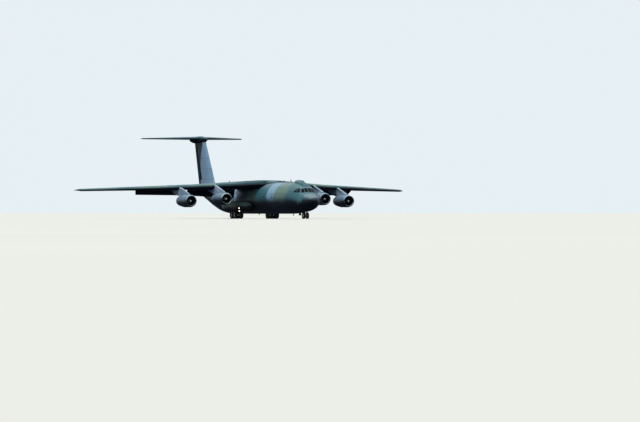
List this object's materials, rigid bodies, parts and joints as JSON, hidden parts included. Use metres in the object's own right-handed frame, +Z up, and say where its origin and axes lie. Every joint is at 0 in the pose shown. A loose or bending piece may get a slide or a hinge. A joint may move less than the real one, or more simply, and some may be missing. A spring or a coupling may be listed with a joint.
{
  "type": "military transport aircraft, half-size model",
  "caption": "High-wing, T-tail jet transport with podded engines, rear ramp and petal doors, flaps lowered, standing on its landing gear; a half-size model.",
  "frame": {"origin": "on the ground under the middle of the bounding box", "axes": "+X forward to the nose, +Y to port, +Z up"},
  "size_m": [25.645, 24.37, 5.9767],
  "materials": {
    "green_paint": "matte",
    "grey_paint": "matte",
    "radome_paint": "matte",
    "cabin_paint": "matte",
    "engine_steel": "satin",
    "bright_metal": "satin",
    "gear_steel": "satin",
    "tyre": "matte",
    "glass": "gloss"
  },
  "bodies": {
    "airframe": {"radome": "radome_paint", "forward_fuselage": "green_paint", "hold_barrel": "green_paint", "rear_fuselage": "green_paint", "receptacle_fairing": "green_paint", "flight_deck": "cabin_paint", "cockpit_fittings": "cabin_paint", "hold_floor": "cabin_paint", "windscreen": "glass", "wing_centre": "green_paint", "wing_left": "green_paint", "wing_right": "green_paint", "cowl_outboard_left": "grey_paint", "engine_outboard_left": "engine_steel", "pylon_outboard_left": "grey_paint", "cowl_outboard_right": "grey_paint", "engine_outboard_right": "engine_steel", "pylon_outboard_right": "grey_paint", "cowl_inboard_left": "grey_paint", "engine_inboard_left": "engine_steel", "pylon_inboard_left": "grey_paint", "cowl_inboard_right": "grey_paint", "engine_inboard_right": "engine_steel", "pylon_inboard_right": "grey_paint", "fin": "green_paint", "tail_bullet": "grey_paint", "tailplane_left": "green_paint", "tailplane_right": "green_paint", "nose_leg": "gear_steel", "nose_gear_door_left": "green_paint", "gear_pod_left": "green_paint", "main_leg_left": "gear_steel", "nose_gear_door_right": "green_paint", "gear_pod_right": "green_paint", "main_leg_right": "gear_steel"},
    "crew_door": {"crew_door": "green_paint"},
    "ramp": {"ramp": "grey_paint"},
    "petal_door_left": {"petal_door_left": "green_paint"},
    "petal_door_right": {"petal_door_right": "green_paint"},
    "aileron_left": {"aileron_left": "green_paint"},
    "flap_inboard_left": {"flap_inboard_left": "green_paint"},
    "flap_outboard_left": {"flap_outboard_left": "green_paint"},
    "aileron_right": {"aileron_right": "green_paint"},
    "flap_inboard_right": {"flap_inboard_right": "green_paint"},
    "flap_outboard_right": {"flap_outboard_right": "green_paint"},
    "fan_outboard_left": {"fan_outboard_left": "bright_metal"},
    "fan_outboard_right": {"fan_outboard_right": "bright_metal"},
    "fan_inboard_left": {"fan_inboard_left": "bright_metal"},
    "fan_inboard_right": {"fan_inboard_right": "bright_metal"},
    "rudder": {"rudder": "green_paint"},
    "elevator_left": {"elevator_left": "green_paint"},
    "elevator_right": {"elevator_right": "green_paint"},
    "nose_steering": {"nose_steering": "gear_steel"},
    "nose_wheels": {"nose_wheels": "tyre"},
    "main_wheels_front_left": {"main_wheels_front_left": "tyre"},
    "main_wheels_rear_left": {"main_wheels_rear_left": "tyre"},
    "main_wheels_front_right": {"main_wheels_front_right": "tyre"},
    "main_wheels_rear_right": {"main_wheels_rear_right": "tyre"}
  },
  "joints": [
    {"name": "crew_door_hinge", "type": "hinge", "parent": "airframe", "child": "crew_door", "pos_m": [10.1475, 0.817, 0.7765], "axis": [-0.9978, 0.0665, 0], "range_deg": [0, 105]},
    {"name": "ramp_hinge", "type": "hinge", "parent": "airframe", "child": "ramp", "pos_m": [-3.1775, 0, 0.345], "axis": [0, -1, 0], "range_deg": [0, 16]},
    {"name": "petal_door_left_hinge", "type": "hinge", "parent": "airframe", "child": "petal_door_left", "pos_m": [-5.4975, 0.9875, 1.35], "axis": [0.9783, 0.1124, -0.174], "range_deg": [0, 80]},
    {"name": "petal_door_right_hinge", "type": "hinge", "parent": "airframe", "child": "petal_door_right", "pos_m": [-5.4975, -0.9875, 1.35], "axis": [-0.9783, 0.1124, 0.174], "range_deg": [0, 80]},
    {"name": "aileron_left_hinge", "type": "hinge", "parent": "airframe", "child": "aileron_left", "pos_m": [-0.97869, 8.3, 2.09126], "axis": [-0.328, 0.9444, -0.0231], "range_deg": [-20, 20]},
    {"name": "aileron_right_hinge", "type": "hinge", "parent": "airframe", "child": "aileron_right", "pos_m": [-0.97869, -8.3, 2.09126], "axis": [0.328, 0.9444, 0.0231], "range_deg": [-20, 20]},
    {"name": "flap_inboard_left_hinge", "type": "hinge", "parent": "airframe", "child": "flap_inboard_left", "pos_m": [0.87373, 1.375, 1.95375], "axis": [0.2144, -0.9767, -0.0062], "range_deg": [-40, 4]},
    {"name": "flap_outboard_left_hinge", "type": "hinge", "parent": "airframe", "child": "flap_outboard_left", "pos_m": [0.17557, 4.85, 1.9817], "axis": [0.3232, -0.9462, 0.0136], "range_deg": [-40, 4]},
    {"name": "flap_inboard_right_hinge", "type": "hinge", "parent": "airframe", "child": "flap_inboard_right", "pos_m": [0.87373, -1.375, 1.95375], "axis": [-0.2144, -0.9767, 0.0062], "range_deg": [-40, 4]},
    {"name": "flap_outboard_right_hinge", "type": "hinge", "parent": "airframe", "child": "flap_outboard_right", "pos_m": [0.17557, -4.85, 1.9817], "axis": [-0.3232, -0.9462, -0.0136], "range_deg": [-40, 4]},
    {"name": "elevator_left_hinge", "type": "hinge", "parent": "airframe", "child": "elevator_left", "pos_m": [-11.60801, 0.43, 5.83214], "axis": [-0.2647, 0.9643, -0.0052], "range_deg": [-15, 25]},
    {"name": "elevator_right_hinge", "type": "hinge", "parent": "airframe", "child": "elevator_right", "pos_m": [-11.60801, -0.43, 5.83214], "axis": [0.2647, 0.9643, 0.0052], "range_deg": [-15, 25]},
    {"name": "rudder_hinge", "type": "hinge", "parent": "airframe", "child": "rudder", "pos_m": [-9.77296, 0, 2.875], "axis": [-0.3829, 0, 0.9238], "range_deg": [-30, 30]},
    {"name": "fan_inboard_left_spin", "type": "hinge", "parent": "airframe", "child": "fan_inboard_left", "pos_m": [4.7725, 3.65, 1.375], "axis": [1, 0, 0], "continuous": true},
    {"name": "fan_outboard_left_spin", "type": "hinge", "parent": "airframe", "child": "fan_outboard_left", "pos_m": [3.6475, 5.85, 1.235], "axis": [1, 0, 0], "continuous": true},
    {"name": "fan_inboard_right_spin", "type": "hinge", "parent": "airframe", "child": "fan_inboard_right", "pos_m": [4.7725, -3.65, 1.375], "axis": [1, 0, 0], "continuous": true},
    {"name": "fan_outboard_right_spin", "type": "hinge", "parent": "airframe", "child": "fan_outboard_right", "pos_m": [3.6475, -5.85, 1.235], "axis": [1, 0, 0], "continuous": true},
    {"name": "nose_steering_turn", "type": "hinge", "parent": "airframe", "child": "nose_steering", "pos_m": [11.1725, 0, 0.5], "axis": [0, 0, 1], "range_deg": [-60, 60]},
    {"name": "nose_wheels_spin", "type": "hinge", "parent": "nose_steering", "child": "nose_wheels", "pos_m": [11.1725, 0, 0.2285], "axis": [0, 1, 0], "continuous": true},
    {"name": "main_wheels_front_left_spin", "type": "hinge", "parent": "airframe", "child": "main_wheels_front_left", "pos_m": [1.3825, 1.335, 0.28], "axis": [0, 1, 0], "continuous": true},
    {"name": "main_wheels_rear_left_spin", "type": "hinge", "parent": "airframe", "child": "main_wheels_rear_left", "pos_m": [0.7625, 1.335, 0.28], "axis": [0, 1, 0], "continuous": true},
    {"name": "main_wheels_front_right_spin", "type": "hinge", "parent": "airframe", "child": "main_wheels_front_right", "pos_m": [1.3825, -1.335, 0.28], "axis": [0, 1, 0], "continuous": true},
    {"name": "main_wheels_rear_right_spin", "type": "hinge", "parent": "airframe", "child": "main_wheels_rear_right", "pos_m": [0.7625, -1.335, 0.28], "axis": [0, 1, 0], "continuous": true}
  ]
}
